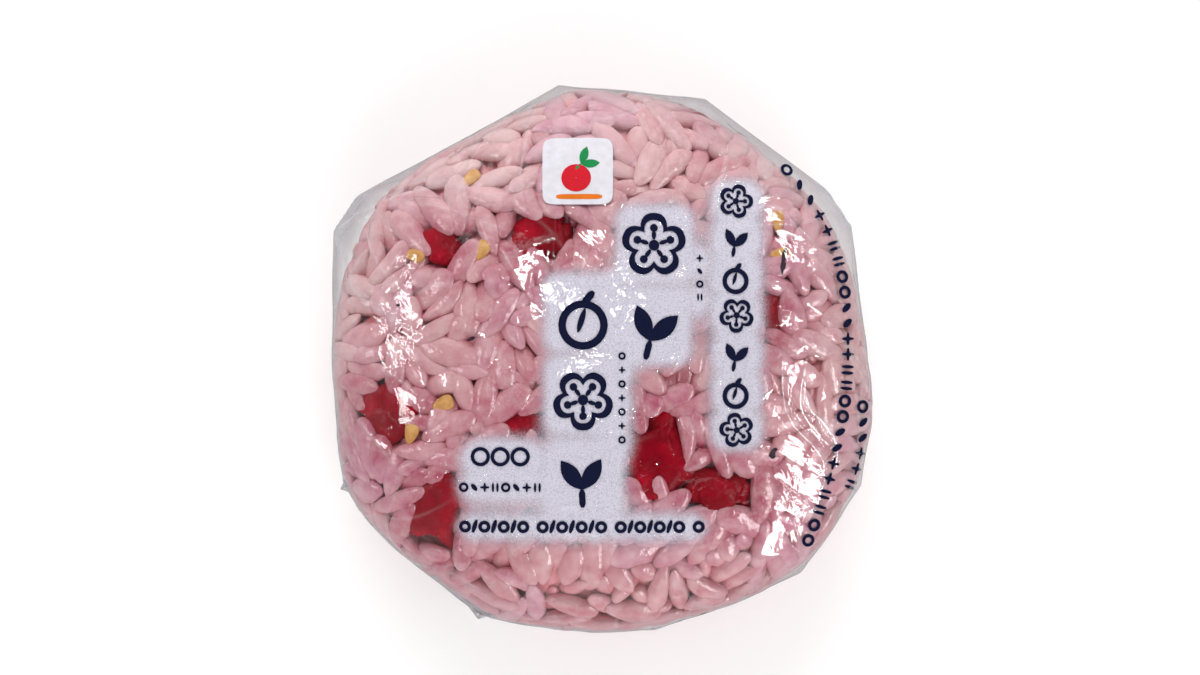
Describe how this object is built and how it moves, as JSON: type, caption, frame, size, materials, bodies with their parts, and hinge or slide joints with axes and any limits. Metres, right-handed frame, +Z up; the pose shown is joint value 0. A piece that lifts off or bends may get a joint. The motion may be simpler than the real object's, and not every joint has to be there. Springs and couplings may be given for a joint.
{
  "type": "onigiri rice ball",
  "caption": "Round pink mixed-rice onigiri with pickled fruit, sesame and shiso, sealed in a tight clear printed film wrapper and lying flat, best side up",
  "frame": {"origin": "on the resting face, under the middle of the object's bounding box", "axes": "+Z is up, away from the surface it lies on and out of its shown face; +Y is the top edge of the shown face and +X its right edge"},
  "size_m": [0.0756, 0.0764, 0.0301],
  "materials": {
    "film_over_rice": "clear wrinkled film drawn tight over moist pink rice",
    "rice": "moist cooked rice grains, pale pink",
    "pickled_fruit": "wet dark red flesh",
    "sesame": "toasted seed",
    "shiso": "dark leaf flecks",
    "print_white": "white ink printed on the film",
    "print_navy": "dark blue ink printed on the film"
  },
  "bodies": {
    "root": {"wrapped_rice_ball": "film_over_rice"}
  },
  "joints": []
}
